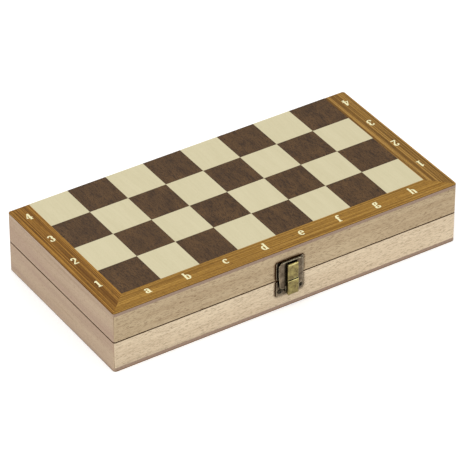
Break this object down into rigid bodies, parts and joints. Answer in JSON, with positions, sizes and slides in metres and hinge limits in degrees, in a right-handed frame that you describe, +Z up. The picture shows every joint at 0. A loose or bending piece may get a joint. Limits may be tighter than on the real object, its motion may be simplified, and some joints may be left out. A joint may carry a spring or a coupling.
{
  "type": "folding wooden chess set with board",
  "caption": "Folding wooden chess case: two hinged trays whose outer faces are the two halves of the board, closed by a draw catch, with turned chessmen stored inside.",
  "frame": {"origin": "middle of the lower board face of the closed case, on the surface that it rests on", "axes": "+X along the case, from file a to file h; +Y from the catch to the hinges; +Z up, out of the upper board face"},
  "size_m": [0.3, 0.1582, 0.052],
  "materials": {
    "beech": "pale beech with a satin lacquer",
    "plywood": "stained plywood edge, lacquered",
    "border_veneer": "golden-brown border veneer, satin",
    "walnut_veneer": "dark brown veneer squares, satin",
    "maple_veneer": "cream veneer squares, satin",
    "lettering": "cream printed file letters and rank numbers",
    "old_brass": "antiqued brass plate, polished on its edges",
    "hinge_brass": "plain brass",
    "light_man": "turned light wood, lacquered",
    "dark_man": "turned dark stained wood, lacquered"
  },
  "bodies": {
    "lower_half": {"lower_board_veneer": "border_veneer", "lower_plywood_panel": "plywood", "lower_front_rail": "beech", "lower_back_rail": "beech", "lower_left_rail": "beech", "lower_right_rail": "beech", "left_hinge_lower_leaf": "hinge_brass", "right_hinge_lower_leaf": "hinge_brass", "left_hinge_pin": "hinge_brass", "right_hinge_pin": "hinge_brass", "catch_base_plate": "old_brass", "base_screw_left": "old_brass", "base_screw_right": "old_brass", "catch_lever_pin": "old_brass", "light_king": "light_man", "light_queen": "light_man", "light_bishop_1": "light_man", "light_bishop_2": "light_man", "light_knight_1": "light_man", "light_knight_2": "light_man", "light_rook_1": "light_man", "light_rook_2": "light_man", "light_pawn_1": "light_man", "light_pawn_2": "light_man", "light_pawn_3": "light_man", "light_pawn_4": "light_man", "light_pawn_5": "light_man", "light_pawn_6": "light_man", "light_pawn_7": "light_man", "light_pawn_8": "light_man", "dark_king": "dark_man", "dark_queen": "dark_man", "dark_bishop_1": "dark_man", "dark_bishop_2": "dark_man", "dark_knight_1": "dark_man", "dark_knight_2": "dark_man", "dark_rook_1": "dark_man", "dark_rook_2": "dark_man", "dark_pawn_1": "dark_man", "dark_pawn_2": "dark_man", "dark_pawn_3": "dark_man", "dark_pawn_4": "dark_man", "dark_pawn_5": "dark_man", "dark_pawn_6": "dark_man", "dark_pawn_7": "dark_man", "dark_pawn_8": "dark_man"},
    "upper_half": {"upper_board_veneer": "border_veneer", "upper_plywood_panel": "plywood", "upper_front_rail": "beech", "upper_back_rail": "beech", "upper_left_rail": "beech", "upper_right_rail": "beech", "left_hinge_upper_leaf": "hinge_brass", "right_hinge_upper_leaf": "hinge_brass", "catch_strike_plate": "old_brass", "strike_screw_left": "old_brass", "strike_screw_right": "old_brass"},
    "catch_lever": {"catch_lever": "old_brass", "catch_strap_pin": "old_brass"},
    "catch_strap": {"catch_strap": "old_brass"}
  },
  "joints": [
    {"name": "lid_hinge", "type": "hinge", "parent": "lower_half", "child": "upper_half", "pos_m": [0, 0.07515, 0.026], "axis": [-1, 0, 0], "range_deg": [0, 180]},
    {"name": "catch_lever_pivot", "type": "hinge", "parent": "lower_half", "child": "catch_lever", "pos_m": [0, -0.0787, 0.0244], "axis": [-1, 0, 0], "range_deg": [0, 95]},
    {"name": "catch_strap_pivot", "type": "hinge", "parent": "catch_lever", "child": "catch_strap", "pos_m": [0, -0.0778, 0.0179], "axis": [-1, 0, 0], "range_deg": [-120, 0]}
  ],
  "couplings": [
    {"joint": "catch_strap_pivot", "follows": "catch_lever_pivot", "ratio": -1.25}
  ]
}
